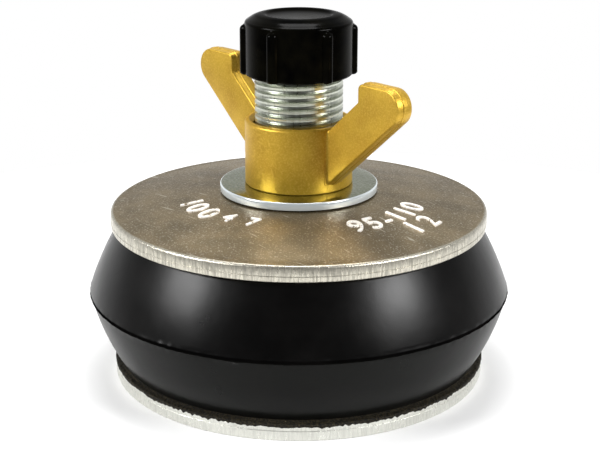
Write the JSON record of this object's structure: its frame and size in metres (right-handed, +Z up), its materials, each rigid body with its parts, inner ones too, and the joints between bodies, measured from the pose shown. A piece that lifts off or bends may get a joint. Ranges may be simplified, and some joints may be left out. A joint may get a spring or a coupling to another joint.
{
  "type": "expanding pipe test plug",
  "caption": "Screw-expanding plug for a 100 mm drain pipe: a rubber ring between two cast plates, on a hollow threaded stem with a wing nut and a screw cap.",
  "frame": {"origin": "on the axis of the stem, on the floor under the bottom plate", "axes": "+Z up along the stem, +X along the wings of the nut at rest"},
  "size_m": [0.1016, 0.1016, 0.087],
  "materials": {
    "bright_plate": "bright, linished rim",
    "cast_plate": "satin, cast grain",
    "ring_rubber": "moulded, satin",
    "seal_rubber": "flat sheet",
    "zinc": "zinc plated",
    "cast_brass": "fine cast grain",
    "cap_plastic": "moulded gloss"
  },
  "bodies": {
    "base": {"bottom_plate": "bright_plate", "stem": "zinc", "back_nut": "zinc", "stem_seal": "seal_rubber", "rubber_ring": "ring_rubber"},
    "clamp": {"top_plate": "cast_plate", "thrust_washer": "zinc"},
    "wing_nut": {"wing_nut": "cast_brass"},
    "cap_seal": {"cap_seal": "seal_rubber"},
    "cap": {"cap": "cap_plastic"}
  },
  "joints": [
    {"name": "clamp_slide", "type": "slide", "parent": "base", "child": "clamp", "axis": [0, 0, -1], "range_m": [0, 0.00726], "deforming": ["rubber_ring"]},
    {"name": "wing_nut_turn", "type": "hinge", "parent": "clamp", "child": "wing_nut", "pos_m": [0, 0, 0.0467], "axis": [0, 0, -1], "range_deg": [0, 1440]},
    {"name": "cap_lift", "type": "slide", "parent": "base", "child": "cap_seal", "axis": [0, 0, 1], "range_m": [0, 0.0109]},
    {"name": "cap_turn", "type": "hinge", "parent": "cap_seal", "child": "cap", "pos_m": [0, 0, 0.0728], "axis": [0, 0, 1], "range_deg": [0, 2160]}
  ],
  "couplings": [
    {"joint": "clamp_slide", "follows": "wing_nut_turn", "m_per_rad": 0.00028871},
    {"joint": "cap_lift", "follows": "cap_turn", "m_per_rad": 0.00028871}
  ]
}
